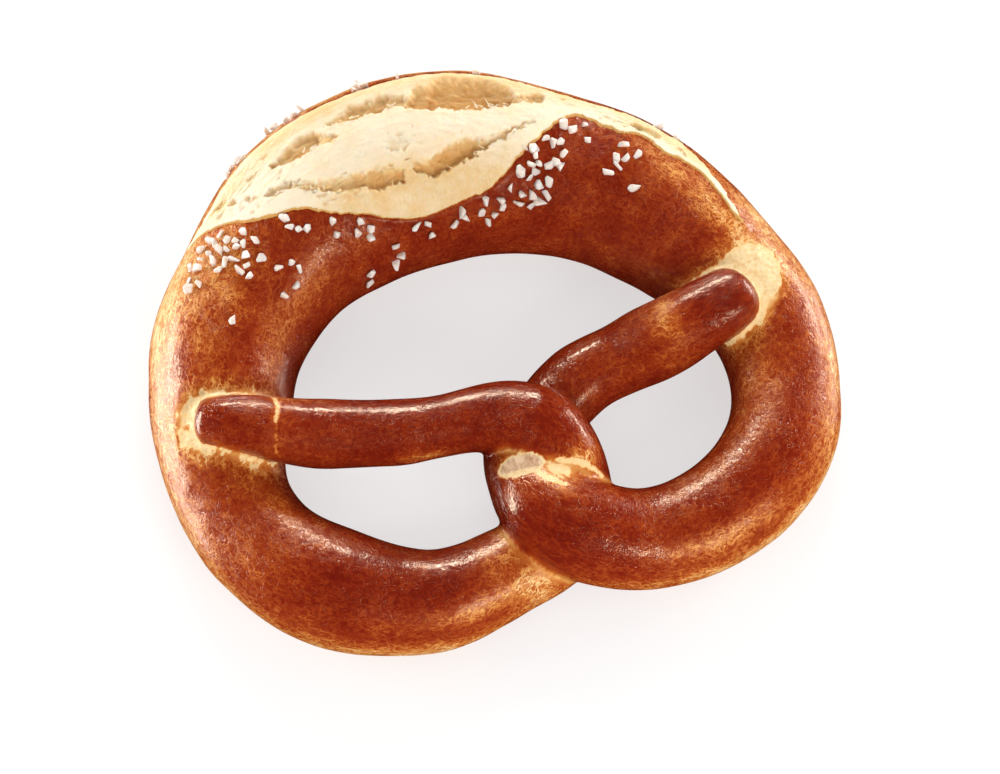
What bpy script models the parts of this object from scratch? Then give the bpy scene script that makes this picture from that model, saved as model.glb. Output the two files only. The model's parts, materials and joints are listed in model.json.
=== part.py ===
"""A soft pretzel as one solid, in metres, +Z up.

One rope of dough, fat in its belly and thin in its arms, is bent round, twisted once and folded back,
so that the tips of the arms lie pressed into the shoulders. The slash along the belly has torn open in
the oven. The origin is the middle of the pretzel's box on the surface that it lies on, X runs along
its width, and the belly is at +Y.
"""

import math

import bpy
import numpy as np

MM = 0.001

# The rope from the left arm's tip, through the twist, the left loop, the belly and the right loop, to
# the right arm's tip: x, y and z of its middle, and half its width, in millimetres.
ROUTE = (
    (-65.2, -9.2, 27.0, 5.2),
    (-59.7, -11.2, 27.5, 6.1),
    (-53.7, -13.2, 26.5, 6.9),
    (-45.7, -15.7, 24.0, 7.6),
    (-35.2, -17.9, 22.0, 7.6),
    (-24.7, -19.9, 21.0, 7.4),
    (-13.2, -20.7, 20.5, 7.1),
    (-2.2, -22.0, 20.5, 8.2),
    (5.8, -26.7, 20.5, 9.0),
    (9.3, -34.2, 18.0, 8.7),
    (8.8, -42.7, 13.0, 8.8),
    (2.8, -49.7, 9.5, 9.5),
    (-6.2, -52.7, 9.0, 9.8),
    (-22.7, -56.3, 10.0, 11.0),
    (-33.7, -54.5, 10.5, 12.1),
    (-45.5, -49.0, 11.5, 13.4),
    (-58.5, -36.0, 12.0, 12.7),
    (-64.0, -18.2, 12.5, 13.4),
    (-62.2, -3.7, 13.5, 15.9),
    (-59.9, 5.8, 14.0, 16.6),
    (-56.0, 15.5, 14.5, 17.4),
    (-47.2, 26.3, 15.5, 18.3),
    (-32.2, 38.3, 17.5, 21.4),
    (-13.2, 44.3, 18.5, 22.7),
    (6.3, 44.0, 18.0, 22.0),
    (24.0, 38.1, 16.5, 19.4),
    (38.0, 30.5, 15.0, 18.3),
    (50.0, 18.0, 13.5, 17.0),
    (59.3, 2.8, 12.5, 14.6),
    (64.3, -12.2, 12.0, 13.5),
    (63.3, -28.2, 11.0, 12.5),
    (57.8, -40.2, 11.0, 12.6),
    (47.8, -49.2, 11.0, 12.2),
    (34.8, -54.2, 10.5, 11.7),
    (21.8, -54.7, 11.5, 11.2),
    (10.8, -51.7, 15.5, 11.3),
    (3.0, -46.2, 18.0, 10.6),
    (0.4, -37.2, 16.0, 9.2),
    (2.3, -26.7, 11.0, 9.0),
    (9.8, -18.7, 8.5, 8.5),
    (18.8, -13.2, 9.5, 8.7),
    (27.3, -11.7, 12.0, 8.4),
    (34.3, -11.2, 15.0, 8.9),
    (41.8, -11.2, 19.5, 8.7),
    (48.8, -10.2, 22.5, 8.0),
    (54.8, -8.7, 24.0, 7.4),
    (59.8, -6.7, 23.5, 6.4),
)

# The two edges of the torn slash: places along the rope, and the angle from the rope's top there,
# positive towards the outside of the ring, in millimetres and degrees.
INNER_EDGE = (
    (238, 58), (243, 44), (247, 22), (253, -3), (260, -27), (268, -43), (278, -53), (287, -58),
    (298, -52), (307, -41), (314, -23), (319, 3), (324, 16), (336, 17), (350, 24), (366, 26),
)
OUTER_EDGE = (
    (238, 58), (246, 53), (254, 57), (266, 58), (278, 51), (291, 43), (304, 38), (314, 31),
    (324, 32), (338, 39), (350, 30), (366, 26),
)

# The hollows torn into the crumb: place along the rope, angle, half length, half width, depth, and
# the turn of the hollow's long axis towards the outside, in millimetres and degrees.
HOLLOWS = (
    (299, 15, 14, 4.6, 4.0, 3),
    (280, 18, 10.5, 3.0, 2.8, 0),
    (267, 15, 8, 3.2, 2.8, -15),
    (272, -22, 12, 3.4, 2.2, -22),
    (295, -24, 11.5, 3.8, 3.6, 19),
)

STEP = 1.5  # between the places along the rope where it is worked out
ROUND_SIDES = 6  # the bevel's steps for a quarter turn
VOXEL = 1.3  # the size of the cells in which the crossing strands are fused
SOFTENING = 6  # rounds of smoothing after that
FLAT_REACH = 3.0  # the height under which dough spreads on the tray
FLAT_CUT = 0.7  # how much of that is pressed quite flat
LIP = 0.6  # how far the torn crumb lies below the crust
LIP_RUN = 3.2  # the width over which it drops
HOLLOW_FLOOR = 0.3  # the part of a hollow's half width that is its level bottom
TIP_DIMPLE = 0.8  # how far the dough gives way round a tip pressed into it
TIP_DIMPLE_RUN = 4.5
TIP_REACH = 20.0  # the length of each arm that lies on a shoulder
ARM = 100.0  # the length of each arm, from its tip into the twist
UPPER_BLEND = 6.0  # the height over which the dimples fade in above the rope's middle
EASING = 3  # rounds of smoothing after the slash is torn
TRIANGLES = 8800

FINE_PLACES = 4000  # the spline's points when its length is measured
BATCH = 4000  # the points compared with the rope at one time
TIP_BLUNTNESS = 0.1  # how far the rope's last ring lies inside its rounded tip


def clear_scene():
    for obj in list(bpy.data.objects):
        bpy.data.objects.remove(obj, do_unlink=True)


def spline(knots, values, places):
    """The natural cubic spline through values at knots, read at places."""
    knots, values = np.asarray(knots, float), np.asarray(values, float)
    gap = np.diff(knots)
    slope = np.diff(values, axis=0) / gap.reshape(-1, *[1] * (values.ndim - 1))
    system = np.eye(len(knots))
    bends = np.zeros_like(values)
    for i in range(1, len(knots) - 1):
        system[i, i - 1 : i + 2] = gap[i - 1], 2 * (gap[i - 1] + gap[i]), gap[i]
        bends[i] = 6 * (slope[i] - slope[i - 1])
    bends = np.linalg.solve(system, bends)
    i = np.clip(np.searchsorted(knots, places) - 1, 0, len(gap) - 1)
    shape = (-1, *[1] * (values.ndim - 1))
    before = (np.asarray(places) - knots[i]).reshape(shape)
    after = gap[i].reshape(shape) - before
    width = gap[i].reshape(shape)
    return (
        (bends[i] * after**3 + bends[i + 1] * before**3) / (6 * width)
        + (values[i] / width - bends[i] * width / 6) * after
        + (values[i + 1] / width - bends[i + 1] * width / 6) * before
    )


def smooth_step(low, high, x):
    t = np.clip((x - low) / (high - low), 0, 1)
    return t * t * (3 - 2 * t)


def rope_places():
    """Even places along the rope: how far along each is, and its x, y, z and half width."""
    route = np.array(ROUTE)
    chords = np.linalg.norm(np.diff(route[:, :3], axis=0), axis=1)
    knots = np.concatenate([[0], np.cumsum(np.sqrt(chords))])
    fine = spline(knots, route, np.linspace(0, knots[-1], FINE_PLACES))
    run = np.concatenate([[0], np.cumsum(np.linalg.norm(np.diff(fine[:, :3], axis=0), axis=1))])
    along = np.linspace(0, run[-1], round(run[-1] / STEP) + 1)
    return along, np.stack([np.interp(along, run, column) for column in fine.T], axis=1)


def rope_tube(along, rope):
    """The rope as a round tube, with tips rounded off over their own half width."""
    curve = bpy.data.curves.new("dough_rope", "CURVE")
    curve.dimensions = "3D"
    curve.twist_mode = "Z_UP"
    curve.bevel_depth = MM
    curve.bevel_resolution = ROUND_SIDES
    curve.use_fill_caps = True
    line = curve.splines.new("POLY")
    line.points.add(len(rope) - 1)
    to_tip = np.minimum(along, along[-1] - along)
    for point, (x, y, z, half_width), reach in zip(line.points, rope, to_tip):
        short = max(0.0, 1 - (reach + TIP_BLUNTNESS) / half_width)
        point.co = (x * MM, y * MM, z * MM, 1)
        point.radius = half_width * math.sqrt(1 - short**2)
    tube = bpy.data.objects.new("dough_rope", curve)
    bpy.context.scene.collection.objects.link(tube)
    return tube


def evaluated_mesh(obj):
    bpy.context.view_layer.update()
    graph = bpy.context.evaluated_depsgraph_get()
    return bpy.data.meshes.new_from_object(obj.evaluated_get(graph))


def smoothed(body, rounds):
    """Evens the skin out, along with what the modifiers before this one make."""
    even = body.modifiers.new("even_out", "SMOOTH")
    even.factor = 0.5
    even.iterations = rounds
    body.data = evaluated_mesh(body)
    body.modifiers.clear()


def fused(tube):
    """The strands made one body where they cross, with soft creases."""
    body = bpy.data.objects.new("pretzel", evaluated_mesh(tube))
    bpy.data.objects.remove(tube)
    bpy.context.scene.collection.objects.link(body)
    fuse = body.modifiers.new("fuse", "REMESH")
    fuse.mode = "VOXEL"
    fuse.voxel_size = VOXEL * MM
    smoothed(body, SOFTENING)
    return body


def read_points(body):
    points = np.empty(len(body.data.vertices) * 3, np.float32)
    body.data.vertices.foreach_get("co", points)
    return points.reshape(-1, 3).astype(float) / MM


def write_points(body, points):
    body.data.vertices.foreach_set("co", (points * MM).astype(np.float32).ravel())
    body.data.update()


def rope_frame(rope):
    """The rope's own directions: along it, level across it towards the ring's inside, and upwards."""
    ahead = np.gradient(rope[:, :3], axis=0)
    ahead /= np.linalg.norm(ahead, axis=1)[:, None]
    across = np.cross(ahead, (0, 0, 1))
    across /= np.linalg.norm(across, axis=1)[:, None]
    return ahead, across, np.cross(across, ahead)


def nearest_places(points, rope):
    """For each point, the rope's place whose skin it lies on."""
    nearest = np.empty(len(points), int)
    for start in range(0, len(points), BATCH):
        part = points[start : start + BATCH]
        gaps = np.linalg.norm(part[:, None] - rope[None, :, :3], axis=2) / rope[None, :, 3]
        nearest[start : start + BATCH] = gaps.argmin(axis=1)
    return nearest


def slash_depth(along, angle, half_width):
    """How far the crumb lies below the crust's skin: a step at the torn edge, and hollows inside."""
    knots = (np.array(INNER_EDGE, float), np.array(OUTER_EDGE, float))
    inner, outer = (spline(edge[:, 0], edge[:, 1], along) for edge in knots)
    inside = np.minimum(angle - inner, outer - angle) * np.pi / 180 * half_width
    first, last = knots[0][0, 0], knots[0][-1, 0]
    inside = np.where((along > first) & (along < last), inside, -LIP_RUN)
    depth = LIP * smooth_step(-LIP_RUN / 2, LIP_RUN / 2, inside)
    for place, middle, half_length, half_breadth, deep, turn in HOLLOWS:
        x = along - place
        y = (angle - middle) * np.pi / 180 * half_width
        c, s = math.cos(math.radians(turn)), math.sin(math.radians(turn))
        u, v = (x * c + y * s) / half_length, (y * c - x * s) / half_breadth
        depth += deep * smooth_step(1, HOLLOW_FLOOR, np.hypot(u, v)) * smooth_step(0, LIP_RUN, inside)
    return depth


def tip_dimples(points, along, rope, places):
    """How far the shoulders give way round the tips that are pressed into them."""
    depth = np.zeros(len(points))
    on_ring = (along[places] > ARM) & (along[places] < along[-1] - ARM)
    for tip in (along < TIP_REACH, along > along[-1] - TIP_REACH):
        arm = rope[tip]
        low, high = arm[:, :2].min(axis=0) - TIP_REACH, arm[:, :2].max(axis=0) + TIP_REACH
        near = on_ring & ((points[:, :2] > low) & (points[:, :2] < high)).all(axis=1)
        gaps = np.linalg.norm(points[near][:, None, :2] - arm[None, :, :2], axis=2) - arm[:, 3]
        depth[near] += TIP_DIMPLE * np.exp(-((gaps.min(axis=1) / TIP_DIMPLE_RUN) ** 2))
    upper = smooth_step(0, UPPER_BLEND, points[:, 2] - rope[places, 2])
    return depth * upper


def tear_and_press(body, along, rope):
    """Tears the slash open and sinks the tips into the shoulders."""
    points = read_points(body)
    places = nearest_places(points, rope)
    _, across, upwards = rope_frame(rope)
    out = points - rope[places, :3]
    out /= np.linalg.norm(out, axis=1)[:, None]
    sideways = -(out * across[places]).sum(axis=1)
    angle = np.degrees(np.arctan2(sideways, (out * upwards[places]).sum(axis=1)))
    depth = slash_depth(along[places], angle, rope[places, 3])
    depth += tip_dimples(points, along, rope, places)
    write_points(body, points - out * depth[:, None])
    smoothed(body, EASING)


def spread_underside(body):
    """Presses the lowest dough flat, as on a baking tray."""
    points = read_points(body)
    z = points[:, 2]
    spread = FLAT_REACH * np.exp(np.minimum(z - FLAT_REACH, 0) / FLAT_REACH)
    points[:, 2] = np.maximum(np.where(z < FLAT_REACH, spread, z) - FLAT_CUT, 0)
    write_points(body, points)


def thin_out(body):
    """Fewer, larger faces where the dough is smooth."""
    body.data.calc_loop_triangles()
    thin = body.modifiers.new("thin_out", "DECIMATE")
    thin.ratio = TRIANGLES / len(body.data.loop_triangles)
    body.data = evaluated_mesh(body)
    body.modifiers.clear()
    body.data.shade_smooth()


def crust_material():
    material = bpy.data.materials.new("crust")
    material.use_nodes = True
    shader = material.node_tree.nodes["Principled BSDF"]
    shader.inputs["Base Color"].default_value = (0.30, 0.075, 0.018, 1)
    shader.inputs["Roughness"].default_value = 0.35
    shader.inputs["Metallic"].default_value = 0
    return material


def make_pretzel():
    clear_scene()
    along, rope = rope_places()
    body = fused(rope_tube(along, rope))
    tear_and_press(body, along, rope)
    spread_underside(body)
    thin_out(body)
    body.data.name = "pretzel"
    body.data.materials.clear()
    body.data.materials.append(crust_material())
    return body


make_pretzel()
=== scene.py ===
import json
import math

import bmesh
import bpy
import numpy as np
from mathutils import Matrix, Vector, noise
from mathutils.bvhtree import BVHTree

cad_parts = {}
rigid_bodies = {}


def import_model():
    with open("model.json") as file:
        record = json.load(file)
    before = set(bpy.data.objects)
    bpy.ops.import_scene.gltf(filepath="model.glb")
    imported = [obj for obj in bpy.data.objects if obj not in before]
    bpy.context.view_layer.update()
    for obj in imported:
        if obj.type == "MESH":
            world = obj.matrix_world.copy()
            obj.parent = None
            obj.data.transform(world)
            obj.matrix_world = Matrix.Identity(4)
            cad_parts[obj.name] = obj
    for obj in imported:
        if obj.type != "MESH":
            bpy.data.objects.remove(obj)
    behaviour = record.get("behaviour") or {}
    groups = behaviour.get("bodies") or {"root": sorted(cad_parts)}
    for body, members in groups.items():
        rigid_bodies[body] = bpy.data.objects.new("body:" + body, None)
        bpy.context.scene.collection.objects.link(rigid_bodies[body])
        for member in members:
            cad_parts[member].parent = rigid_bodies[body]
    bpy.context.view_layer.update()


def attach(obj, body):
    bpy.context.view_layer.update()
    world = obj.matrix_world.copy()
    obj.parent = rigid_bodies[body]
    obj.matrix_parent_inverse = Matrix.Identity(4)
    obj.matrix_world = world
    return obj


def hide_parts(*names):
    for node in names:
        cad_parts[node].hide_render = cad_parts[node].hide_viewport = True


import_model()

mm = 0.001
scene = bpy.context.scene


# The dough: one rope, given from the left arm's tip, through the twist, the left loop, the belly and
# the right loop, to the right arm's tip. Places along it are called along, and are in millimetres.
# Angles round it are in degrees from its top, positive towards the outside of the ring.
dough = {
    "route": (  # x, y and z of the rope's middle, and half its width, in millimetres
        (-65.2, -9.2, 27.0, 5.2), (-59.7, -11.2, 27.5, 6.1), (-53.7, -13.2, 26.5, 6.9),
        (-45.7, -15.7, 24.0, 7.6), (-35.2, -17.9, 22.0, 7.6), (-24.7, -19.9, 21.0, 7.4),
        (-13.2, -20.7, 20.5, 7.1), (-2.2, -22.0, 20.5, 8.2), (5.8, -26.7, 20.5, 9.0),
        (9.3, -34.2, 18.0, 8.7), (8.8, -42.7, 13.0, 8.8), (2.8, -49.7, 9.5, 9.5),
        (-6.2, -52.7, 9.0, 9.8), (-22.7, -56.3, 10.0, 11.0), (-33.7, -54.5, 10.5, 12.1),
        (-45.5, -49.0, 11.5, 13.4), (-58.5, -36.0, 12.0, 12.7), (-64.0, -18.2, 12.5, 13.4),
        (-62.2, -3.7, 13.5, 15.9), (-59.9, 5.8, 14.0, 16.6), (-56.0, 15.5, 14.5, 17.4),
        (-47.2, 26.3, 15.5, 18.3), (-32.2, 38.3, 17.5, 21.4), (-13.2, 44.3, 18.5, 22.7),
        (6.3, 44.0, 18.0, 22.0), (24.0, 38.1, 16.5, 19.4), (38.0, 30.5, 15.0, 18.3),
        (50.0, 18.0, 13.5, 17.0), (59.3, 2.8, 12.5, 14.6), (64.3, -12.2, 12.0, 13.5),
        (63.3, -28.2, 11.0, 12.5), (57.8, -40.2, 11.0, 12.6), (47.8, -49.2, 11.0, 12.2),
        (34.8, -54.2, 10.5, 11.7), (21.8, -54.7, 11.5, 11.2), (10.8, -51.7, 15.5, 11.3),
        (3.0, -46.2, 18.0, 10.6), (0.4, -37.2, 16.0, 9.2), (2.3, -26.7, 11.0, 9.0),
        (9.8, -18.7, 8.5, 8.5), (18.8, -13.2, 9.5, 8.7), (27.3, -11.7, 12.0, 8.4),
        (34.3, -11.2, 15.0, 8.9), (41.8, -11.2, 19.5, 8.7), (48.8, -10.2, 22.5, 8.0),
        (54.8, -8.7, 24.0, 7.4), (59.8, -6.7, 23.5, 6.4),
    ),
    "step": 0.75,         # mm between the rope's worked-out places
    "sides": 48,
    "widen": 0.998,       # the finer fusing below rounds less away than the solid's does
    "cell": 0.75,         # mm, the cells in which the crossing strands are fused
    "softening": 11,
    "flatReach": 3.0,     # mm, the height under which dough spreads on the tray
    "flatCut": 0.7,       # mm of that pressed quite flat
    "unevenness": 0.28,   # mm, soft lumps
    "leftReach": 2.4,     # mm that the left tip is drawn out
    "blunt": 0.6,         # how long the rounding of a tip is, beside its half width
    "tipStep": 0.2,       # mm between places where an arm's tip is measured, and mm of it measured
    "tipRun": 24,
    "dimple": 0.6,        # mm that the shoulders give way round the arms' tips
    "dimpleRun": (1.5, 2.2),
    "ownStretch": 34,     # mm along the rope within which the skin is one strand's own
    "leap": 5,            # mm along the rope between neighbours that lie on different strands
}

# The torn slash: its two edges, as places along the rope and angles there.
slash = {
    "innerEdge": ((238, 58), (243, 42), (247, 18), (252, -2), (257, -13), (262, -29), (267, -38), (275, -50),
                  (283, -57), (291, -56), (300, -50), (308, -38), (313, -18), (318, 2), (321, 15),
                  (327, 19), (333, 18), (338, 24), (343, 23), (348, 28), (354, 29), (360, 24), (366, 22)),
    "outerEdge": ((238, 58), (247, 53), (256, 51), (264, 45.5), (272, 40.8), (281, 38.6), (292, 39.2),
                  (303, 39.8), (312, 41.5), (322, 39.5), (331, 41), (341, 44.5), (350, 41), (358, 31),
                  (366, 22)),
    "ragged": (0.42, 2.6),   # mm that the edge wavers, and over what length
    "trough": 5.5,           # mm that the dough under the crumb lies back
    "troughRun": (0.3, 1.8),
    "curl": 0.22,            # mm that the crust turns up beside it
    "near": (225, 380, 100), # it lies between these places along, and within this angle
    "farFrom": -20.0,        # mm, the distance given to whatever lies beyond those
}


def naturalSpline(knots, values, places):
    # the natural cubic spline through values at knots, read at places
    knots, values = np.asarray(knots, float), np.asarray(values, float)
    gap = np.diff(knots)
    wide = (-1, *[1] * (values.ndim - 1))
    slope = np.diff(values, axis=0) / gap.reshape(wide)
    system = np.eye(len(knots))
    bends = np.zeros_like(values)
    for i in range(1, len(knots) - 1):
        system[i, i - 1:i + 2] = gap[i - 1], 2 * (gap[i - 1] + gap[i]), gap[i]
        bends[i] = 6 * (slope[i] - slope[i - 1])
    bends = np.linalg.solve(system, bends)
    i = np.clip(np.searchsorted(knots, places) - 1, 0, len(gap) - 1)
    before = (np.asarray(places) - knots[i]).reshape(wide)
    width = gap[i].reshape(wide)
    after = width - before
    return ((bends[i] * after ** 3 + bends[i + 1] * before ** 3) / (6 * width)
            + (values[i] / width - bends[i] * width / 6) * after
            + (values[i + 1] / width - bends[i + 1] * width / 6) * before)


def smoothStep(low, high, x):
    t = np.clip((x - low) / (high - low), 0, 1)
    return t * t * (3 - 2 * t)


def unit(vectors):
    return vectors / np.linalg.norm(vectors, axis=1)[:, None]


def batches(items, size=4000):
    return (items[i:i + size] for i in range(0, len(items), size))


def sampleRope():
    # even places along the rope, and its middle, half width and own directions there
    route = np.array(dough["route"])
    chords = np.linalg.norm(np.diff(route[:, :3], axis=0), axis=1)
    knots = np.concatenate([[0], np.cumsum(np.sqrt(chords))])
    fine = naturalSpline(knots, route, np.linspace(0, knots[-1], 4000))
    run = np.concatenate([[0], np.cumsum(np.linalg.norm(np.diff(fine[:, :3], axis=0), axis=1))])
    along = np.linspace(0, run[-1], round(run[-1] / dough["step"]) + 1)
    table = np.stack([np.interp(along, run, column) for column in fine.T], axis=1)
    ahead = unit(np.gradient(table[:, :3], axis=0))
    across = unit(np.cross(ahead, (0, 0, 1)))
    return {"along": along, "middle": table[:, :3], "halfWidth": table[:, 3], "ahead": ahead,
            "across": across, "up": np.cross(across, ahead)}


rope = sampleRope()


# Helpers for node trees and meshes

def newTree(name, inputs):
    tree = bpy.data.node_groups.new(name, "GeometryNodeTree")
    tree.interface.new_socket("Geometry", in_out="INPUT", socket_type="NodeSocketGeometry")
    for label, kind in inputs:
        tree.interface.new_socket(label, in_out="INPUT", socket_type=kind)
    tree.interface.new_socket("Geometry", in_out="OUTPUT", socket_type="NodeSocketGeometry")
    return tree, tree.nodes.new("NodeGroupInput"), tree.nodes.new("NodeGroupOutput")


def setInputs(tree, node, values):
    # a value is set, and another node's output is linked
    for name, value in values.items():
        if isinstance(value, bpy.types.NodeSocket):
            tree.links.new(value, node.inputs[name])
        else:
            node.inputs[name].default_value = value
    return node


def addNode(tree, kind, inputs=None, **settings):
    node = tree.nodes.new(kind)
    for name, value in settings.items():
        setattr(node, name, value)
    return setInputs(tree, node, inputs or {})


def calculate(tree, operation, *values):
    return addNode(tree, "ShaderNodeMath", dict(enumerate(values)), operation=operation).outputs[0]


def closeTree(tree, geometry, source, result):
    # every tree's end: real meshes, in their material
    whole = addNode(tree, "GeometryNodeRealizeInstances", {"Geometry": geometry})
    finish = addNode(tree, "GeometryNodeSetMaterial", {"Geometry": whole.outputs["Geometry"],
                                                       "Material": source.outputs["Finish"]})
    tree.links.new(finish.outputs["Geometry"], result.inputs["Geometry"])
    return tree


def useTree(piece, tree, values):
    modifier = piece.modifiers.new(tree.name, "NODES")
    modifier.node_group = tree
    for item in tree.interface.items_tree:
        if item.item_type == "SOCKET" and item.in_out == "INPUT" and item.name in values:
            modifier[item.identifier] = values[item.name]
    return modifier


def plainMesh(piece):
    # what the modifiers make, as the piece's own mesh
    bpy.context.view_layer.update()
    graph = bpy.context.evaluated_depsgraph_get()
    mesh = bpy.data.meshes.new_from_object(piece.evaluated_get(graph))
    piece.modifiers.clear()
    piece.data = mesh
    return piece


def newPiece(name, mesh):
    piece = bpy.data.objects.new(name, mesh)
    scene.collection.objects.link(piece)
    return piece


def readVectors(items, name):
    values = np.empty(len(items) * 3, np.float32)
    items.foreach_get(name, values)
    return values.reshape(-1, 3).astype(float)


def writePoints(piece, points):
    piece.data.vertices.foreach_set("co", (points * mm).astype(np.float32).ravel())
    piece.data.update()


def store(piece, name, values):
    # a number or a vector for each point
    kind, field = ("FLOAT", "value") if np.ndim(values) == 1 else ("FLOAT_VECTOR", "vector")
    layer = piece.data.attributes.new(name, kind, "POINT")
    layer.data.foreach_set(field, np.asarray(values, np.float32).ravel())


def ropeTree():
    tree, source, result = newTree("doughRope", (
        ("Sides", "NodeSocketInt"), ("Widen", "NodeSocketFloat"), ("Finish", "NodeSocketMaterial")))
    out = source.outputs
    halfWidth = addNode(tree, "GeometryNodeInputNamedAttribute", {"Name": "halfWidth"}, data_type="FLOAT")
    widened = calculate(tree, "MULTIPLY", halfWidth.outputs["Attribute"], out["Widen"])
    line = addNode(tree, "GeometryNodeMeshToCurve", {"Mesh": out["Geometry"]})
    ring = addNode(tree, "GeometryNodeCurvePrimitiveCircle", {"Resolution": out["Sides"], "Radius": 1.0})
    skin = addNode(tree, "GeometryNodeCurveToMesh", {
        "Curve": line.outputs["Curve"], "Scale": widened, "Profile Curve": ring.outputs["Curve"],
        "Fill Caps": True})
    return closeTree(tree, skin.outputs["Mesh"], source, result)


def roundedLine(step):
    # the rope's run, middle, direction and half width, the left tip drawn out and both tips rounded off
    reach, end = dough["leftReach"], rope["along"][-1]
    run = np.linspace(-reach, end, round((end + reach) / step) + 1)
    middle, ahead = ropeAt(run, "middle", "ahead")
    middle += ahead * np.minimum(run, 0)[:, None]
    halfWidth = halfWidthAt(run)
    short = np.maximum(0, 1 - (np.minimum(run + reach, end - run) + 0.1) / (halfWidth * dough["blunt"]))
    return run, middle, ahead, halfWidth * np.sqrt(1 - short ** 2)


def ropeLine():
    mesh = bpy.data.meshes.new("ropeLine")
    _, middle, _, halfWidth = roundedLine(dough["step"])
    mesh.from_pydata((middle * mm).tolist(), [(i, i + 1) for i in range(len(middle) - 1)], [])
    piece = newPiece("crust", mesh)
    store(piece, "halfWidth", halfWidth * mm)
    return piece


def ropeAt(along, *names):
    # what the rope is at any place: its middle and directions
    return [np.stack([np.interp(along, rope["along"], column) for column in rope[name].T], axis=-1)
            for name in names]


def ropePlaces(points):
    # for each point: the place along the rope whose skin it lies on, the angle there, and the way out
    nearest = np.empty(len(points), int)
    for part in batches(np.arange(len(points))):
        gaps = np.linalg.norm(points[part][:, None] - rope["middle"], axis=2) / rope["halfWidth"]
        nearest[part] = gaps.argmin(axis=1)
    along = rope["along"][nearest]
    for _ in range(4):
        middle, ahead = ropeAt(along, "middle", "ahead")
        along = np.clip(along + ((points - middle) * ahead).sum(axis=1) * 0.8, 0, rope["along"][-1])
    middle, ahead, across, up = ropeAt(along, "middle", "ahead", "across", "up")
    out = points - middle
    out = unit(out - (out * ahead).sum(axis=1)[:, None] * ahead)
    angle = np.degrees(np.arctan2(-(out * across).sum(axis=1), (out * up).sum(axis=1)))
    return along, angle, out


def halfWidthAt(along):
    return np.interp(along, rope["along"], rope["halfWidth"])


def flatPlaces(along, angle):
    # places on the rope's skin laid out flat, in mm
    return np.stack([along, np.radians(angle) * halfWidthAt(along), np.zeros_like(along)], axis=-1)


def ropeRays(along, angle):
    # the rope's middle at each place, and the way out from there at that angle
    middle, across, up = ropeAt(along, "middle", "across", "up")
    turn = np.radians(angle)[:, None]
    return middle, np.cos(turn) * up - np.sin(turn) * across


def turned(off, degrees):
    # offsets along axes turned by some degrees
    c, s = math.cos(math.radians(degrees)), math.sin(math.radians(degrees))
    return off[:, 0] * c + off[:, 1] * s, off[:, 1] * c - off[:, 0] * s


def hump(where, place, angle, halfLength, halfBreadth):
    # 1 at that place on the rope's skin, and less with distance from it
    off = (where - flatPlaces(place, angle))[:, :2] / (halfLength, halfBreadth)
    return np.exp(-(off ** 2).sum(axis=1))


def noiseOf(vectors, octaves=1, roughness=0.5):
    # fractal noise about 0, worked out point by point
    values = np.zeros(len(vectors))
    size, share = 1.0, 1.0
    for _ in range(octaves):
        values += share * np.array([noise.noise(Vector(v) * size) for v in vectors])
        size, share = size * 2.03, share * roughness
    return values


def slashOutline(count=220):
    # the slash's outline as a closed loop of places along and distances round the rope, in mm
    loop = []
    for name, order in (("innerEdge", 1), ("outerEdge", -1)):
        knots = np.array(slash[name], float)
        along = np.linspace(knots[0, 0], knots[-1, 0], count)[::order]
        loop.append(flatPlaces(along, naturalSpline(knots[:, 0], knots[:, 1], along))[:-1, :2])
    return np.concatenate(loop)


def insideSlash(along, angle):
    # the distance to the slash's outline, positive inside it, in mm
    loop = slashOutline()
    ends = np.roll(loop, -1, axis=0)
    reach = ends - loop
    rise = np.where(np.abs(reach[:, 1]) < 1e-9, 1e-9, reach[:, 1])
    where = flatPlaces(along, angle)
    distance = np.full(len(where), slash["farFrom"])
    first, last, around = slash["near"]
    near = np.flatnonzero((along > first) & (along < last) & (np.abs(angle) < around))
    for part in batches(near):
        x, y = where[part, :1], where[part, 1:2]
        step = where[part][:, None, :2] - loop
        share = np.clip((step * reach).sum(axis=2) / (reach ** 2).sum(axis=1), 0, 1)
        gap = np.linalg.norm(step - share[:, :, None] * reach, axis=2).min(axis=1)
        crosses = (loop[:, 1] > y) != (ends[:, 1] > y)
        meets = loop[:, 0] + (y - loop[:, 1]) / rise * reach[:, 0]
        inside = (crosses & (x < meets)).sum(axis=1) % 2 == 1
        distance[part] = np.where(inside, gap, -gap)
    by, length = slash["ragged"]
    edge = np.flatnonzero(np.abs(distance) < 3)
    more = 1 + 0.8 * smoothStep(318, 326, along[edge])
    distance[edge] += by * noiseOf(where[edge] / length, 3, 0.6) * more
    return distance


def tipGaps(points, along):
    # how far each point near an arm's tip is from that arm's own skin, in mm, and below 0 inside it
    run, middle, ahead, halfWidth = roundedLine(dough["tipStep"])
    reach, end = dough["tipRun"], rope["along"][-1]
    rest = ((along > 20) & (along < 100)) | ((along < end - 20) & (along > end - 100))
    gaps = []
    for tip in (run < reach, run > end - reach):
        beside = (np.abs(points[:, :2] - middle[tip].mean(axis=0)[:2]) < 28).all(axis=1)
        gap = np.full(len(points), 50.0)
        for part in batches(np.flatnonzero(beside & ~rest)):
            off = points[part][:, None] - middle[tip]
            beyond = (off * ahead[tip]).sum(axis=2)
            aside = np.sqrt(np.maximum((off ** 2).sum(axis=2) - beyond ** 2, 0)) - halfWidth[tip]
            level = np.arange(len(part)), np.abs(beyond).argmin(axis=1)
            within = (aside[level] < 0) & (np.abs(beyond[level]) < 0.3)
            gap[part] = np.hypot(beyond, aside).min(axis=1) * np.where(within, -1, 1)
        gaps.append(gap)
    return gaps


def edgeEnds(piece):
    pairs = np.empty(len(piece.data.edges) * 2, np.int32)
    piece.data.edges.foreach_get("vertices", pairs)
    return pairs.reshape(-1, 2).T


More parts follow.
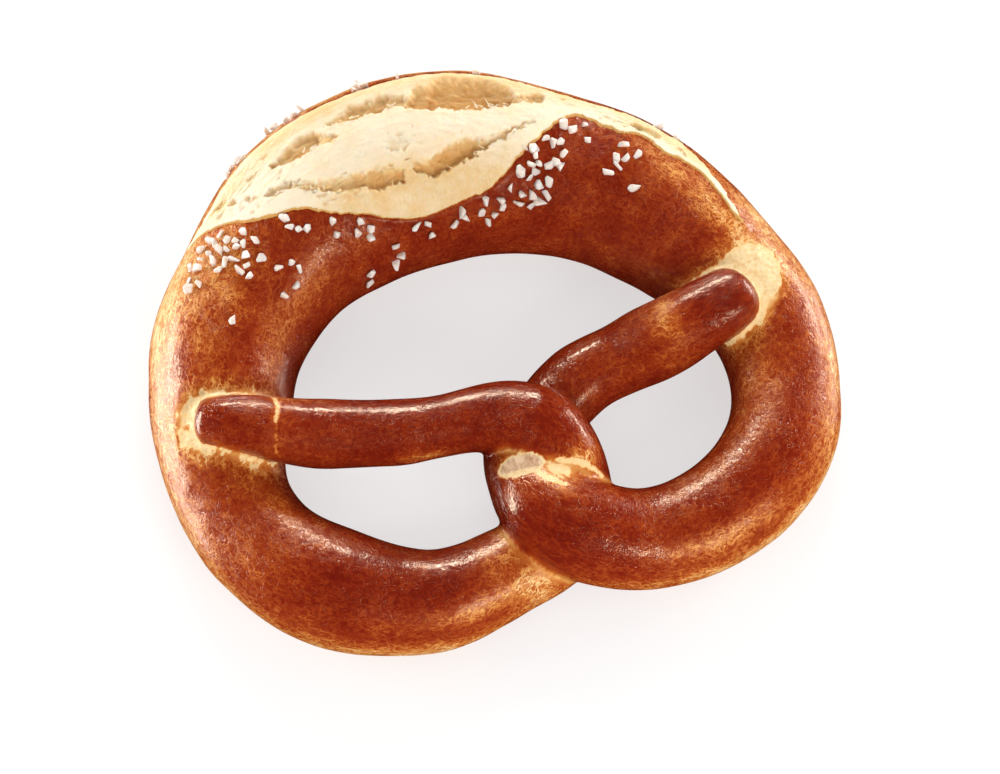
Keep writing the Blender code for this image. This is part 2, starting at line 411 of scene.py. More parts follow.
def steadiness(piece, along):
    # 0 where the skin passes from one stretch of the rope to another, and 1 elsewhere
    first, second = edgeEnds(piece)
    steady = np.ones(len(along))
    leaps = np.abs(along[first] - along[second]) > dough["leap"]
    steady[first[leaps]] = 0
    steady[second[leaps]] = 0
    beside = steady.copy()
    np.minimum.at(beside, first, 0.5 + 0.5 * steady[second])
    np.minimum.at(beside, second, 0.5 + 0.5 * steady[first])
    return beside


def relax(piece, points, weight, rounds):
    # the points, each drawn towards the middle of its neighbours by its weight, some times over
    first, second = edgeEnds(piece)
    own = np.flatnonzero((weight[first] > 0) | (weight[second] > 0))
    first, second = first[own], second[own]
    ends, others = np.concatenate([first, second]), np.concatenate([second, first])
    count = np.maximum(np.bincount(ends, minlength=len(points)), 1)
    points = points.copy()
    for _ in range(rounds):
        total = np.stack([np.bincount(ends, points[others, k], len(points)) for k in range(3)], axis=1)
        points += (total / count[:, None] - points) * weight[:, None]
    return points


def tipDimples(points, along):
    middle, run = dough["dimpleRun"]
    return dough["dimple"] * sum(np.exp(-((gap - middle) / run) ** 2) * smoothStep(0, 0.9, gap)
                                 for gap in tipGaps(points, along))


# How dark the crust has baked, with some patches that are painted highlight: patches as along, angle, half
# length in mm, half breadth in degrees, and how much paler (positive) or darker it is there.
bakeAndHighlight = {
    "level": 0.185,
    "outerFlank": (60, 100, 0.26),     # from this angle to that one, and how much paler
    "foot": (5.0, 0.22),               # mm above the tray, and how much paler below that
    "patches": (
        # the left of the ring, golden towards the outside; the first two patches are also painted highlight,
        # the left lamp's sheen on the outer flank
        (230, 55, 16, 22, 0.52), (212, 62, 14, 20, 0.30), (238, 24, 14, 16, 0.22), (228, 5, 30, 26, 0.18),
        (225, -50, 24, 14, 0.16), (200, 48, 7, 24, 0.08), (196, -30, 14, 30, 0.10),
        (250, -50, 14, 18, 0.12),
        # the right of the ring; the patch at (390, 60) is golden crust and partly painted highlight on the
        # outer flank
        (345, 14, 20, 12, 0.24), (368, 6, 16, 14, 0.26), (366, 45, 18, 20, 0.30), (390, 60, 22, 30, 0.24),
        (400, -50, 26, 26, 0.16), (410, -20, 18, 16, 0.14), (420, 85, 14, 24, 0.20),
        # the loops; (126, 45) and (442, 42) are golden crust and partly painted highlight, (440, -35) is
        # painted highlight, and (408, 52) is painted highlight over gold on the right ring's outer flank
        (116, 5, 8, 60, 0.22), (124, -15, 14, 16, 0.05), (126, 45, 16, 16, 0.26), (138, 92, 20, 22, 0.18),
        (186, 70, 14, 30, 0.30), (175, -25, 16, 22, 0.16), (440, 85, 20, 26, 0.16),
        (440, -35, 20, 16, 0.14), (442, 42, 14, 14, 0.30), (408, 52, 14, 20, 0.22),
        # the arms and the twist
        (14, 20, 4, 60, 0.12), (20, 42, 8, 20, 0.12), (48, -84, 5, 14, 0.30), (489, 0, 6, 60, 0.34),
        (478, 60, 16, 40, -0.12), (70, -40, 20, 60, -0.10), (548, 10, 3.5, 60, 0.30),
        (530, -52, 12, 14, 0.10), (4, -5, 5, 30, -0.06), (558, -10, 5, 40, -0.12),
        (112, 60, 6, 34, 0.24), (108, 90, 8, 30, 0.16), (84.5, 5, 2.6, 45, 0.46), (481, -32, 4.0, 22, 0.5),
        (40, 0, 24, 70, -0.08), (140, 5, 22, 40, -0.08), (172, 25, 12, 25, 0.12),
        # the far side, beyond the slash
        (270, 56, 26, 12, 0.46), (312, 54, 20, 12, 0.36),
    ),
    "seamReach": 2.6,                  # mm beside a fold between two strands that stays golden
    "seamGold": 0.42,
    "tipGlow": 0.24,
}

# Pale lines where the crust has cracked: points as along and angle, half width in mm, and how pale.
cracks = (
    (((82.6, -22), (84.1, 2), (86.1, 25), (88.1, 45)), 0.42, 0.68),
    (((483.4, -6), (481.4, -11), (480.1, -18), (478.3, -23)), 0.35, 0.8),
    (((482.6, -28), (482.1, -35), (481.1, -42)), 0.75, 0.72),
    (((87.0, 5), (87.8, 20), (89.0, 40), (89.6, 48)), 0.3, 0.5),
    (((12.0, 80), (13.4, 50), (14.2, 15), (14.0, -10)), 0.34, 0.66),
    (((14.0, -10), (14.8, -45), (15.5, -70)), 0.28, 0.34),
)

# The pale flap over both strands of the knot: an oval in the plan, in mm, above a height, its long axis
# turned by some degrees from +X.
flap = {"middle": (-1.3, -36.2), "halfLength": 5.1, "halfBreadth": 3.0, "turn": -8, "above": 17, "depth": 0.5,
        "rim": 0.2, "smoothing": 16}

# Pale dough round the arms' tips, where they pull away from the ring: for each tip, a point in the plan,
# the widths in mm in directions from there, in degrees from +X towards +Y, and how ragged and patchy.
halos = (
    {"from": (-62.5, -10.0), "ragged": 1.8, "patchy": 0.9,
     "widths": ((-180, 4.0), (-161, 3.3), (-145, 2.5), (-111, 1.8), (-79, 1.3), (-61, 1.0), (-30, 0.5),
                (0, 0.4), (32, 0.9), (75, 1.3), (105, 1.6), (130, 2.7), (140, 3.5), (166, 4.3), (180, 4.0))},
    {"from": (57.0, -7.8), "ragged": 0.7, "patchy": 0.12,
     "widths": ((-180, 0.8), (-109, 0.9), (-60, 1.2), (-40, 2.0), (-29, 2.7), (-16, 4.4), (-1, 6.3),
                (18, 8.1), (34, 9.0), (46, 9.2), (59, 7.9), (72, 5.9), (88, 3.6), (103, 1.9), (119, 1.2),
                (147, 0.9), (180, 0.8))},
)


cracked = {"depth": 0.45, "grain": 1.6}    # mm that a crack lies back, and the size of its wrinkles


def crackMask(points):
    # 0 on whole crust, up to 1 in the middle of a pale crack
    mask = np.zeros(len(points))
    for line, halfWidth, strength in cracks:
        line = np.array(line, float)
        share = np.linspace(0, len(line) - 1, len(line) * 6)
        along, angle = (np.interp(share, range(len(line)), column) for column in line.T)
        middle, out = ropeRays(along, angle)
        path = middle + out * halfWidthAt(along)[:, None]
        near = np.flatnonzero(((points > path.min(axis=0) - 6) & (points < path.max(axis=0) + 6)).all(axis=1))
        if len(near):
            gap = np.linalg.norm(points[near][:, None] - path[None], axis=2).min(axis=1)
            mask[near] = np.maximum(mask[near], strength * smoothStep(2.2, 0.4, gap / halfWidth))
    return mask


def flapShare(points):
    # 0 outside the flap on the knot, up to 1 in its middle; and how far up it a point lies, from -1 to 1
    x, y = turned(points[:, :2] - flap["middle"], flap["turn"])
    y /= flap["halfBreadth"]
    share = np.clip(1 - (np.abs(x / flap["halfLength"]) ** 2.4 + y ** 2), 0, 1)
    return share * (points[:, 2] > flap["above"]), y


def haloMasks(points, along):
    # how bare the dough is round the arms' tips, and how golden the crust is round that
    bare = np.zeros(len(points))
    glow = np.zeros(len(points))
    for gap, halo in zip(tipGaps(points, along), halos):
        near = np.flatnonzero(gap < 14)
        off = points[near, :2] - halo["from"]
        width = np.interp(np.degrees(np.arctan2(off[:, 1], off[:, 0])), *np.array(halo["widths"]).T)
        width += halo["ragged"] * noiseOf(points[near] / 1.8, 3, 0.6)
        beyond = gap[near] - width
        inside = smoothStep(0.15, 0.5, gap[near]) * smoothStep(0.5, -0.5, beyond)
        inside *= 1 - halo["patchy"] * smoothStep(0.0, 0.3, noiseOf(points[near] / 1.7 + 40, 2))
        bare[near] = np.maximum(bare[near], inside)
        glow[near] = np.maximum(glow[near], smoothStep(0, 0.4, gap[near]) * smoothStep(4.0, 0, beyond))
    return bare, glow


def gapToOthers(points, along):
    # how far each point of the skin is from the nearest other stretch of the rope, in mm
    gap = np.full(len(points), 50.0)
    for part in batches(np.arange(len(points))):
        away = np.linalg.norm(points[part][:, None] - rope["middle"][::2], axis=2) - rope["halfWidth"][::2]
        same = np.abs(along[part][:, None] - rope["along"][::2]) < dough["ownStretch"]
        gap[part] = np.where(same, 50, away).min(axis=1)
    return gap


def bakeAndHighlightMap(points, along, angle, gap, glow):
    # 0 where the crust is darkest, 1 where it is palest, some patches of that paleness painted highlight
    pale = np.full(len(along), bakeAndHighlight["level"])
    low, high, share = bakeAndHighlight["outerFlank"]
    onRing = smoothStep(105, 135, along) * smoothStep(490, 455, along)
    pale += share * smoothStep(low, high, angle) * smoothStep(175, 140, angle) * onRing
    height, share = bakeAndHighlight["foot"]
    pale += share * smoothStep(height, 0, points[:, 2])
    for place, middle, halfLength, halfBreadth, share in bakeAndHighlight["patches"]:
        pale += share * np.exp(-((along - place) / halfLength) ** 2 - ((angle - middle) / halfBreadth) ** 2)
    pale += bakeAndHighlight["tipGlow"] * glow
    pale += bakeAndHighlight["seamGold"] * smoothStep(bakeAndHighlight["seamReach"], 0.4, gap) * (0.7 + noiseOf(points / 5, 2))
    return np.clip(pale, 0, 1)


def fusedRope():
    # the rope's strands, fused where they cross
    piece = ropeLine()
    useTree(piece, ropeTree(), {"Sides": dough["sides"], "Widen": dough["widen"]})
    plainMesh(piece)
    fuse = piece.modifiers.new("fuse", "REMESH")
    fuse.mode = "VOXEL"
    fuse.voxel_size = dough["cell"] * mm
    soften = piece.modifiers.new("soften", "SMOOTH")
    soften.factor = 0.5
    soften.iterations = dough["softening"]
    return plainMesh(piece)


def pressFlat(height):
    # dough near the tray spreads, and the lowest of it is pressed flat
    reach = dough["flatReach"]
    spread = reach * np.exp(np.minimum(height - reach, 0) / reach)
    return np.maximum(np.where(height < reach, spread, height) - dough["flatCut"], 0)


def makeCrust():
    piece = fusedRope()
    points = readVectors(piece.data.vertices, "co") / mm
    along, angle, out = ropePlaces(points)
    ways = readVectors(piece.data.vertex_normals, "vector")
    lumps = noiseOf(points / 14, 2) * dough["unevenness"]
    skin = points + ways * (lumps - tipDimples(points, along))[:, None]
    writePoints(piece, skin)
    smoothSkin = BVHTree.FromPolygons([Vector(p) for p in skin * mm],
                                      [tuple(f.vertices) for f in piece.data.polygons])
    inside = insideSlash(along, angle)
    trough = slash["trough"] * smoothStep(*slash["troughRun"], inside)
    curl = slash["curl"] * np.exp(-((inside + 0.7) / 0.8) ** 2)
    bare, glow = haloMasks(points, along)
    lifted, upFlap = flapShare(points)
    skin = relax(piece, skin, 0.8 * smoothStep(0, 0.3, lifted), flap["smoothing"])
    crack = np.maximum(crackMask(points), bare * 0.9)
    pleat = cracked["depth"] * crack * (0.5 + noiseOf(points / cracked["grain"], 3))
    pleat *= smoothStep(0.3, 0.0, lifted)
    rim = flap["rim"] * np.exp(-((lifted - 0.06) / 0.08) ** 2) * (lifted > 0)
    pleat += flap["depth"] * smoothStep(0.08, 0.5, lifted) - rim
    skin += out * (curl - trough)[:, None] - ways * pleat[:, None]
    skin[:, 2] = pressFlat(skin[:, 2])
    writePoints(piece, skin)
    turn = np.radians(angle)
    middle, ahead = ropeAt(along, "middle", "ahead")
    run = along + ((points - middle) * ahead).sum(axis=1)
    up, aside = halfWidthAt(along) * (np.cos(turn), np.sin(turn))
    gap = gapToOthers(points, along)
    for name, values in (
            ("ropeSpace", np.stack([run, up, aside], axis=1)), ("tear", inside),
            ("bakeAndHighlight", bakeAndHighlightMap(points, along, angle, gap, glow)),
            ("fold", smoothStep(2.5, 0.5, gap)),
            ("crack", np.maximum(crack, smoothStep(0.0, 0.12, lifted))),
            ("steady", steadiness(piece, along)),
            ("flap", smoothStep(0.08, 0.3, lifted) * smoothStep(-0.45, -0.05, upFlap)),
            ("saltShare", saltShare(along, angle, inside))):
        store(piece, name, values)
    piece.data.shade_smooth()
    piece.data.materials.clear()
    return piece, smoothSkin


# Coarse salt, thickest beside the slash: patches as along, angle, half length and half breadth in mm,
# the turn of the patch's long axis in degrees, and grains for each square centimetre.
salt = {
    "patches": (
        # beside the slash's left end, down to the flank
        (240, 8, 6.5, 8.5, 0, 14), (239, 28, 4, 4, 0, 13), (231, 27, 4.5, 2.6, 20, 12),
        (253, -12, 2.8, 2.6, 0, 14), (254.5, -22, 1.4, 1.4, 0, 12), (257, -37, 4.5, 2.6, 0, 9),
        (246, -42, 5, 4, 0, 6), (239, -34, 3.5, 3, 0, 6), (223, -10, 1.2, 1.2, 0, 14),
        # along its inner edge
        (266, -48, 3.4, 4.2, 90, 13), (275, -50, 3.5, 1.6, 0, 8), (253, -67, 2.2, 1.6, 0, 10),
        (262, -82, 4, 3, 0, 8), (274, -74, 3.2, 3.4, 0, 12), (287, -64, 6, 3, 0, 8),
        (296, -62, 4, 1.8, 0, 9), (306, -60, 3.0, 3.2, 0, 11), (311, -48, 3.2, 3.6, 0, 11),
        (312.5, -29, 1.8, 1.8, 0, 14),
        # beside its right end
        (318.5, -20, 4.4, 9.5, 0, 16), (323, 9, 4.4, 2.4, 0, 15), (316, -42, 3, 4.5, 0, 11),
        (328.4, 0, 1.3, 1.3, 0, 14), (336, 0, 3.2, 3.4, 0, 13), (332.5, -20, 2.8, 1.6, 0, 12),
        (341.4, -18, 1.3, 1.3, 0, 14),
        # on the far side
        (258, 62, 3, 2.2, 0, 12), (269, 55, 4.5, 2.2, 0, 14), (281, 46, 3.5, 1.8, 0, 10),
        (302, 42, 3, 1.6, 0, 8), (289, 43, 2, 1.6, 0, 10), (341, 47, 2.5, 1.5, 0, 12),
    ),
    "edgeGap": 0.2,        # mm of bare crust beside the slash
    "apart": 1.7,          # mm at least between grains
    "most": 40,            # grains a square centimetre, before those too near others are dropped
    "fill": 14,            # grains a square centimetre that are left of them
    "lift": 0.5,           # mm that a grain's middle stands above the crust
    "kinds": 14,
    "size": (0.85, 1.25),
    "seed": 11,
}


def saltShare(along, angle, inside):
    # how thick the salt lies at each place, and none of it in the slash
    density = np.zeros(len(along))
    where = flatPlaces(along, angle)
    for place, middle, halfLength, halfBreadth, turn, grains in salt["patches"]:
        x, y = turned(where - flatPlaces(place, middle), turn)
        r = np.hypot(x / halfLength, y / halfBreadth)
        density = np.maximum(density, grains * smoothStep(1.35, 0.65, r))
    return density / salt["fill"] * (inside < -salt["edgeGap"])


def saltGrain(number, seed):
    # the hull of some random points, its edges worn
    random = np.random.default_rng(seed)
    body = bmesh.new()
    size = np.array([random.uniform(1.1, 1.5), random.uniform(0.95, 1.2), random.uniform(0.85, 1.1)])
    for _ in range(random.integers(10, 16)):
        way = random.normal(size=3)
        blocky = np.abs(way).max() ** 0.5 * np.linalg.norm(way) ** 0.5
        body.verts.new(way / blocky * size * random.uniform(0.88, 1.05))
    hull = bmesh.ops.convex_hull(body, input=body.verts)
    inner = {corner for corner in hull["geom_unused"] + hull["geom_interior"]
             if isinstance(corner, bmesh.types.BMVert)}
    bmesh.ops.delete(body, geom=list(inner), context="VERTS")
    bmesh.ops.dissolve_limit(body, angle_limit=0.35, verts=body.verts, edges=body.edges)
    bmesh.ops.bevel(body, geom=body.edges[:], offset=0.17, segments=2, profile=0.6, affect="EDGES",
                    clamp_overlap=True)
    bmesh.ops.triangulate(body, faces=body.faces)
    bmesh.ops.scale(body, vec=(mm, mm, mm), verts=body.verts)
    bmesh.ops.recalc_face_normals(body, faces=body.faces)
    mesh = bpy.data.meshes.new(f"grain{number}")
    body.to_mesh(mesh)
    body.free()
    mesh.shade_smooth()
    return bpy.data.objects.new(f"grain{number}", mesh)


def saltTree():
    tree, source, result = newTree("scatteredSalt", (
        ("Grains", "NodeSocketCollection"), ("Apart", "NodeSocketFloat"), ("Most", "NodeSocketFloat"),
        ("Smallest", "NodeSocketFloat"), ("Largest", "NodeSocketFloat"), ("Lift", "NodeSocketFloat"),
        ("Seed", "NodeSocketInt"), ("Finish", "NodeSocketMaterial")))
    out = source.outputs
    share = addNode(tree, "GeometryNodeInputNamedAttribute", {"Name": "saltShare"}, data_type="FLOAT")
    points = addNode(tree, "GeometryNodeDistributePointsOnFaces", {
        "Mesh": out["Geometry"], "Distance Min": out["Apart"], "Density Max": out["Most"],
        "Density Factor": share.outputs["Attribute"], "Seed": out["Seed"]}, distribute_method="POISSON")
    lift = addNode(tree, "ShaderNodeVectorMath", {0: points.outputs["Normal"], "Scale": out["Lift"]},
                   operation="SCALE")
    raised = addNode(tree, "GeometryNodeSetPosition", {
        "Geometry": points.outputs["Points"], "Offset": lift.outputs[0]})
    kinds = addNode(tree, "GeometryNodeCollectionInfo", {
        "Collection": out["Grains"], "Separate Children": True, "Reset Children": True})
    tumble = addNode(tree, "FunctionNodeRandomValue", {
        0: (-3.1, -3.1, -3.1), 1: (3.1, 3.1, 3.1), "Seed": out["Seed"]}, data_type="FLOAT_VECTOR")
    turn = addNode(tree, "FunctionNodeEulerToRotation", {"Euler": tumble.outputs[0]})
    size = addNode(tree, "FunctionNodeRandomValue", {
        2: out["Smallest"], 3: out["Largest"], "Seed": out["Seed"]}, data_type="FLOAT")
    grains = addNode(tree, "GeometryNodeInstanceOnPoints", {
        "Points": raised.outputs["Geometry"], "Instance": kinds.outputs["Instances"], "Pick Instance": True,
        "Rotation": turn.outputs["Rotation"], "Scale": size.outputs[1]})
    return closeTree(tree, grains.outputs["Instances"], source, result)


def makeSalt(crust, finish):
    kinds = bpy.data.collections.new("saltGrains")
    for number in range(salt["kinds"]):
        kinds.objects.link(saltGrain(number, salt["seed"] * 100 + number))
    piece = newPiece("salt", crust.data.copy())
    useTree(piece, saltTree(), {"Grains": kinds, "Apart": salt["apart"] * mm, "Most": salt["most"] / 1e-4,
                                "Lift": salt["lift"] * mm, "Seed": salt["seed"],
                                "Smallest": salt["size"][0], "Largest": salt["size"][1], "Finish": finish})
    plainMesh(piece)
    for name in ("ropeSpace", "tear", "bakeAndHighlight", "fold", "crack", "flap", "steady", "saltShare"):
        if name in piece.data.attributes:
            piece.data.attributes.remove(piece.data.attributes[name])
    for grain in list(kinds.objects):
        bpy.data.objects.remove(grain)
    bpy.data.collections.remove(kinds)
    return piece


# The crumb that shows in the slash. Its hollows follow lines: along, angle, half breadth and depth in mm.
crumb = {
    "rowStep": 0.30,
    "columns": 146,
    "overlap": 1.1,        # mm that the crumb's rim reaches under the crust
    "rise": (-0.55, 0.10, -0.70),   # mm above the skin: under the crust's edge, just inside, in the middle
    "hollows": (
        ((273, 19.5, 1.0, 1.0), (278, 20.5, 2.1, 2.0), (283, 20, 2.4, 2.3), (287, 18.5, 1.6, 1.8)),
        ((288.5, 14, 1.5, 1.9), (292.5, 16.5, 4.1, 3.0), (297, 19, 5.2, 3.5), (302, 20.5, 5.1, 3.6),
         (306, 21, 3.9, 3.0), (309, 20, 1.8, 1.8)),
        ((311, 22.5, 1.2, 1.2), (314.5, 27, 1.5, 1.5)),
        ((260, 22, 0.9, 1.4), (260.6, 20, 0.7, 1.2)),
        ((263.2, 19, 2.2, 1.9), (267.5, 17.5, 2.6, 2.2), (271.5, 9, 1.2, 1.1)),
        ((254.8, 10, 1.0, 1.1), (258.5, 3, 1.2, 1.4), (261, -5, 1.1, 1.1), (265, -15, 1.4, 1.2),
         (270, -21, 2.0, 1.4), (276, -27, 2.6, 1.7), (281, -30, 1.9, 1.5)),
        ((286.5, -29, 1.2, 1.4), (290, -32, 2.0, 2.1), (295, -26, 2.5, 2.3), (300, -20.5, 2.4, 2.2),
         (303.5, -17, 1.3, 1.6)),
        ((304, -17, 0.7, 1.0), (308, -10, 0.8, 1.0), (311, -4, 0.6, 0.8), (314, 2, 0.4, 0.4)),
        ((336, 31, 1.5, 1.2), (340, 33, 0.9, 0.8)), ((331, 25, 0.6, 0.5), (333, 26, 0.4, 0.4)),
        ((345.5, 33, 0.6, 0.7), (347, 34, 0.5, 0.6)), ((248, 46, 0.8, 0.9), (248.6, 44, 0.7, 0.8)),
        ((250, 33, 1.0, 1.2), (250.6, 31, 0.8, 1.0)), ((256, 32, 0.8, 0.7), (257, 30, 0.6, 0.6)),
        ((252, 21, 0.8, 0.9), (252.5, 17, 0.7, 0.7)), ((283, -11, 1.6, 0.6), (285, -13, 1.2, 0.5)),
    ),
    "swells": (            # soft rises and dips: along, angle, half length, half breadth and height in mm
        (275, 4, 14, 3.2, 0.4), (300, -4, 16, 3.6, 0.28), (274, -15, 9, 3.5, -0.6),
        (287, -45, 14, 2.4, 0.35), (262, 34, 12, 2.5, 0.3), (290, 31, 16, 2.0, 0.25),
        (262, -6, 6, 2.0, 0.35), (312, 10, 8, 2.6, 0.3),
    ),
    "waver": (0.85, 1.9),  # mm that the hollows' rims waver, and over what length
    "lace": (              # where it is torn to lace: along, angle, half length and half breadth in mm, share
        (249, 28, 6.5, 6.0, 1.0), (251, 2, 6, 4.5, 0.8), (262, -20, 7, 2.6, 0.95), (275, -28, 10, 2.2, 0.7),
        (263, 17, 5, 3.0, 0.6), (285, -11, 4, 2.4, 0.75), (256, 40, 6, 3, 0.6), (326, 27, 8, 2.6, 0.55),
        (338, 32, 8, 2.6, 0.5), (302, -16, 7, 2.0, 0.5), (294, 12, 9, 2.0, 0.45),
    ),
    "poreSize": 2.1,       # mm between its pores
    "poreDeep": 0.5,
    "lip": 0.20,           # mm that a hollow's inner rim stands up
    "threads": 5,          # to each hollow, for each centimetre of it
    "threadSeed": 9,
}


def hollowDepth(where):
    # how deep the crumb's hollows are at each place, steepest at their inner rims, and those rims' lips
    by, length = crumb["waver"]
    shift = np.stack([noiseOf(where / length + k * 31.7, 4, 0.62) for k in range(2)], axis=1) * by
    spot = where[:, :2] + shift
    depth = np.zeros(len(where))
    lip = np.zeros(len(where))
    for line in crumb["hollows"]:
        line = np.array(line, float)
        knots = flatPlaces(line[:, 0], line[:, 1])[:, :2]
        for i in range(len(line) - 1):
            reach = knots[i + 1] - knots[i]
            share = np.clip(((spot - knots[i]) @ reach) / (reach @ reach), 0, 1)
            breadth, deep = line[i, 2:, None] * (1 - share) + line[i + 1, 2:, None] * share
            off = spot - knots[i] - share[:, None] * reach
            side = off[:, 1] / breadth
            ring = np.linalg.norm(off, axis=1) / breadth
            soft = 0.22 + 0.26 * smoothStep(-0.5, 0.5, side)
            bowl = 0.5 + 0.5 * smoothStep(1.1, -0.4, side)
            depth = np.maximum(depth, deep * bowl * smoothStep(1.12, 1.12 - soft, ring))
            lip = np.maximum(lip, np.exp(-((ring - 1.28) / 0.2) ** 2) * smoothStep(0.1, -0.6, side))
    return depth, lip


def poreDepth(where):
    # small bubbles, open where the crumb is torn to lace
    share = np.zeros(len(where))
    for *oval, most in crumb["lace"]:
        share = np.maximum(share, most * hump(where, *oval))
    depth = np.zeros(len(where))
    near = np.flatnonzero(share > 0.08)
    bent = where[near] / crumb["poreSize"] * (0.75, 1, 1)
    bent += noiseOf(where[near] / 1.6, 2)[:, None] * (0.35, -0.3, 0)
    gap = np.array([noise.voronoi(Vector(v))[0][0] for v in bent])
    depth[near] = crumb["poreDeep"] * smoothStep(0.55, 0.16, gap / (0.35 + 0.75 * share[near]))
    return depth, share


def crumbRelief(along, angle, inside):
    # mm that the crumb stands above the crust's own skin, and how much of that is a hollow
    where = flatPlaces(along, angle)
    under, rim, middle = crumb["rise"]
    rise = under + (rim - under) * smoothStep(-0.6, 0.15, inside)
    rise += (middle - rim) * smoothStep(1.5, 8, inside)
    for *oval, height in crumb["swells"]:
        rise += height * hump(where, *oval) * smoothStep(0.5, 2.5, inside)
    hollows, lip = hollowDepth(where)
    pores, lace = poreDepth(where)
    inner = smoothStep(0.3, 1.6, inside)
    pits = np.maximum(hollows, pores) * inner
    rise += crumb["lip"] * lip * inner * (0.6 + noiseOf(where / 0.9, 2))
    coarse = 0.14 + 0.14 * smoothStep(0.2, 1.2, pits) + 0.22 * lace
    fibres = noiseOf(where * (1 / 2.6, 1 / 1.3, 1), 4, 0.65) * coarse
    fine = noiseOf(where / 0.75, 2, 0.6) * (0.035 + 0.05 * lace)
    return rise - pits + (fibres + fine) * smoothStep(0.8, 3, inside), pits


def crumbEdges(alongs):
    # the angles between which the crumb lies at each place, its rim under the crust included
    angles = np.linspace(-72, 76, 149)
    places = np.repeat(alongs, len(angles))
    inside = insideSlash(places, np.tile(angles, len(alongs))).reshape(len(alongs), -1) + crumb["overlap"]
    within = inside > 0
    first = within.argmax(axis=1)
    last = len(angles) - 1 - within[:, ::-1].argmax(axis=1)
    return angles[first], angles[last]


def skinPlaces(skin, along, angle):
    # points of the crust's smooth skin, and the way out there
    middle, out = ropeRays(along, angle)
    out = unit(out)
    reach = np.array([(skin.ray_cast(Vector(m), Vector(o))[3] or 0) for m, o in zip(middle * mm, out)]) / mm
    return middle + out * reach[:, None], out


def gridFaces(rows, columns):
    # a sheet's faces, and ruled ones that close it below
    faces = []
    for i in range(rows - 1):
        a = i * columns
        faces += [(a + j, a + j + 1, a + j + columns + 1, a + j + columns) for j in range(columns - 1)]
        faces.append((a, a + columns, a + 2 * columns - 1, a + columns - 1))
    faces.append(tuple(range(columns)))
    faces.append(tuple(range((rows - 1) * columns, rows * columns))[::-1])
    return faces


def threadPaths():
    # thin strands of crumb across the hollows, from their inner rims: along, angle, and mm above the skin
    random = np.random.default_rng(crumb["threadSeed"])
    paths = []
    for line in crumb["hollows"]:
        line = np.array(line, float)
        if line[:, 3].max() < 1.2:
            continue
        length = line[-1, 0] - line[0, 0]
        for _ in range(round(length / 10 * crumb["threads"])):
            share = random.uniform(0, len(line) - 1)
            place, angle, breadth, deep = (np.interp(share, range(len(line)), column) for column in line.T)
            perMm = math.degrees(1 / halfWidthAt(place))
            across = 0.12 + 0.8 * random.random() ** 3
            lean = random.normal() * 0.9
            t = np.linspace(0, 1, 6)
            side = -1.12 + across * t
            depth = np.array([-0.15, 0.0, -0.15, -0.3, -0.5, -0.75]) * random.uniform(0.6, 1.3)
            bend = random.normal() * 0.35 * np.sin(t * math.pi)
            paths.append((place + lean * t + bend, angle + side * breadth * perMm, depth,
                          random.uniform(0.06, 0.13)))
    return paths


def addThreads(skin, points, faces, marks, sides=5):
    for along, angle, height, thick in threadPaths():
        base, out = skinPlaces(skin, along, angle)
        if insideSlash(along, angle).min() < 1.0:
            continue
        line = base + out * height[:, None]
        ahead = unit(np.gradient(line, axis=0))
        aside = unit(np.cross(ahead, out))
        first = len(points)
        for i, place in enumerate(line):
            wide = thick * (2.0, 1.5, 1.1, 0.9, 0.7, 0.4)[i]
            for k in range(sides):
                turn = 2 * math.pi * k / sides
                off = math.cos(turn) * aside[i] + math.sin(turn) * np.cross(aside[i], ahead[i])
                points.append(place + wide * off)
                marks.append((along[i], np.radians(angle[i]) * halfWidthAt(along[i]), height[i], 5.0, 0.5))
        for i in range(len(line) - 1):
            a = first + i * sides
            faces += [(a + k, a + (k + 1) % sides, a + sides + (k + 1) % sides, a + sides + k)
                      for k in range(sides)]
        faces.append(tuple(range(first, first + sides))[::-1])
        faces.append(tuple(range(first + len(line) * sides - sides, first + len(line) * sides)))


def makeCrumb(skin):
    first, last = slash["innerEdge"][0][0], slash["innerEdge"][-1][0]
    alongs = np.linspace(first - 0.5, last + 0.5, round((last - first + 1) / crumb["rowStep"]))
    low, high = crumbEdges(alongs)
    share = np.linspace(0, 1, crumb["columns"])
    angle = (low[:, None] * (1 - share) + high[:, None] * share).ravel()
    along = np.repeat(alongs, crumb["columns"])
    base, out = skinPlaces(skin, along, angle)
    inside = insideSlash(along, angle)
    rise, pits = crumbRelief(along, angle, inside)
    where = flatPlaces(along, angle)
    points = list(base + out * rise[:, None])
    marks = [(*w[:2], r, i, p) for w, r, i, p in zip(where, rise, inside, pits)]
    faces = gridFaces(len(alongs), crumb["columns"])
    addThreads(skin, points, faces, marks)
    mesh = bpy.data.meshes.new("crumb")
    mesh.from_pydata((np.array(points) * mm).tolist(), [], faces)
    mesh.validate()
    piece = newPiece("crumb", mesh)
    body = bmesh.new()
    body.from_mesh(mesh)
    bmesh.ops.recalc_face_normals(body, faces=body.faces)
    body.to_mesh(mesh)
    body.free()
    marks = np.array(marks)
    store(piece, "ropeSpace", marks[:, :3])
    store(piece, "tear", marks[:, 3])
    # how deep each point lies in a hollow, which the crumb's colour darkens, partly as painted shade
    store(piece, "hollow", marks[:, 4])
    mesh.shade_smooth()
    return piece


# Materials

def newMaterial(name):
    material = bpy.data.materials.new(name)
    material.use_nodes = True
    return material, material.node_tree, material.node_tree.nodes["Principled BSDF"]


def colour(red, green, blue):
    # a screen colour from 0 to 255, as the shader's linear one
    return tuple(((c / 255 + 0.055) / 1.055) ** 2.4 for c in (red, green, blue)) + (1,)


def fade(tree, value, low, high, start=0.0, end=1.0):
    # value from low to high, as a smooth run from start to end
    node = addNode(tree, "ShaderNodeMapRange", {
        "Value": value, "From Min": low, "From Max": high, "To Min": start, "To Max": end},
        interpolation_type="SMOOTHSTEP")
    return node.outputs["Result"]


